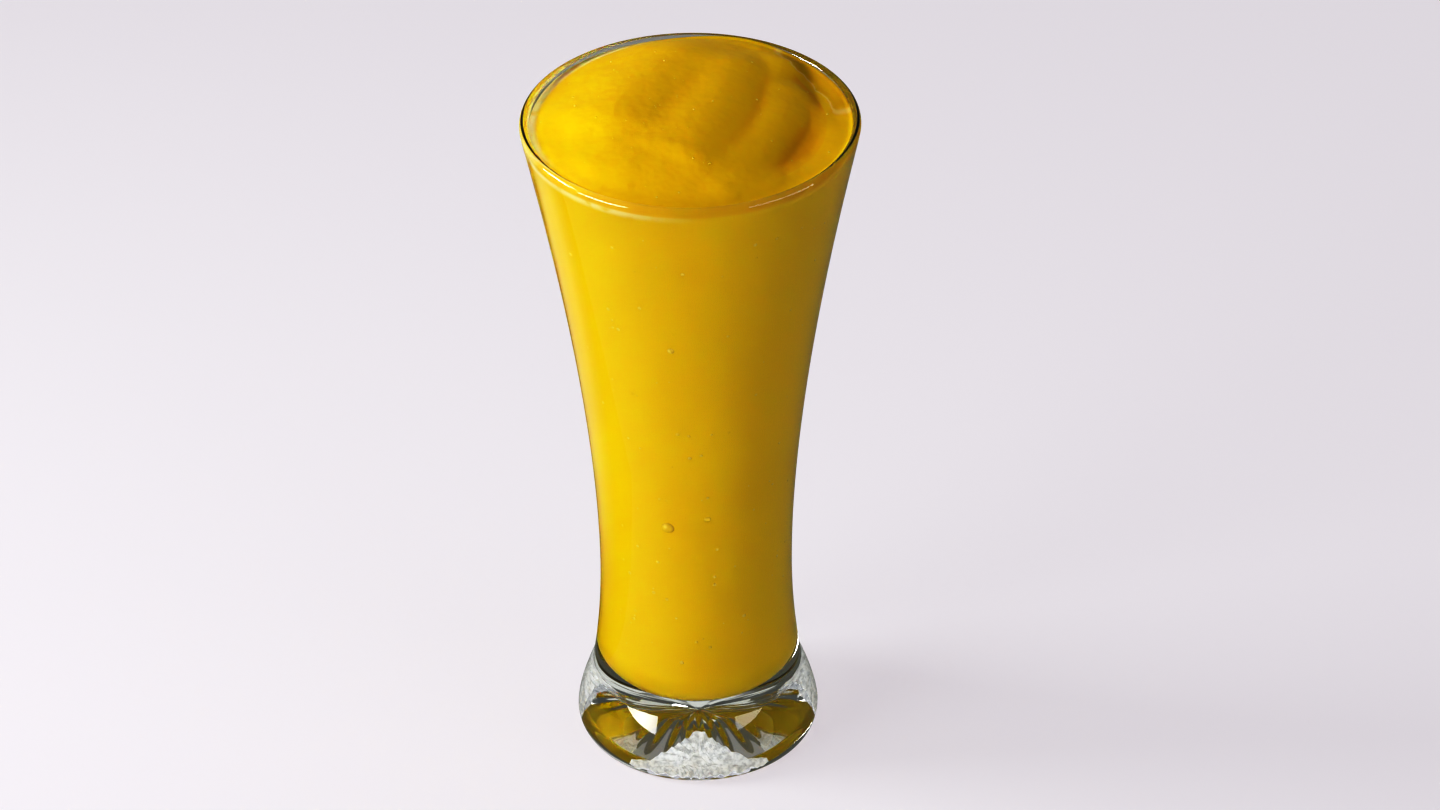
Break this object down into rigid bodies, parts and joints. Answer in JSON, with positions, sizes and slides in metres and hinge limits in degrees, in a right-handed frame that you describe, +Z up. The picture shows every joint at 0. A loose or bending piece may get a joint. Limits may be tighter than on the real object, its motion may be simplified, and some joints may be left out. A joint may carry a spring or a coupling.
{
  "type": "glass of mango juice",
  "caption": "Thick mango juice filled to the brim of a tall flared drinking glass with a slim waist and a heavy clear foot.",
  "frame": {"origin": "middle of the foot's underside, on the surface that the glass stands on", "axes": "+Z up along the glass's axis; +X to the right and +Y away from someone facing the side that the picture shows"},
  "size_m": [0.0776, 0.0776, 0.1744],
  "materials": {
    "clear_glass": "clear polished pressed glass with a faint green-grey tint where it is thick",
    "mango_juice": "opaque thick fruit juice, deep golden yellow, smooth and softly wet with small bubbles"
  },
  "bodies": {
    "root": {"glass": "clear_glass", "juice": "mango_juice"}
  },
  "joints": []
}
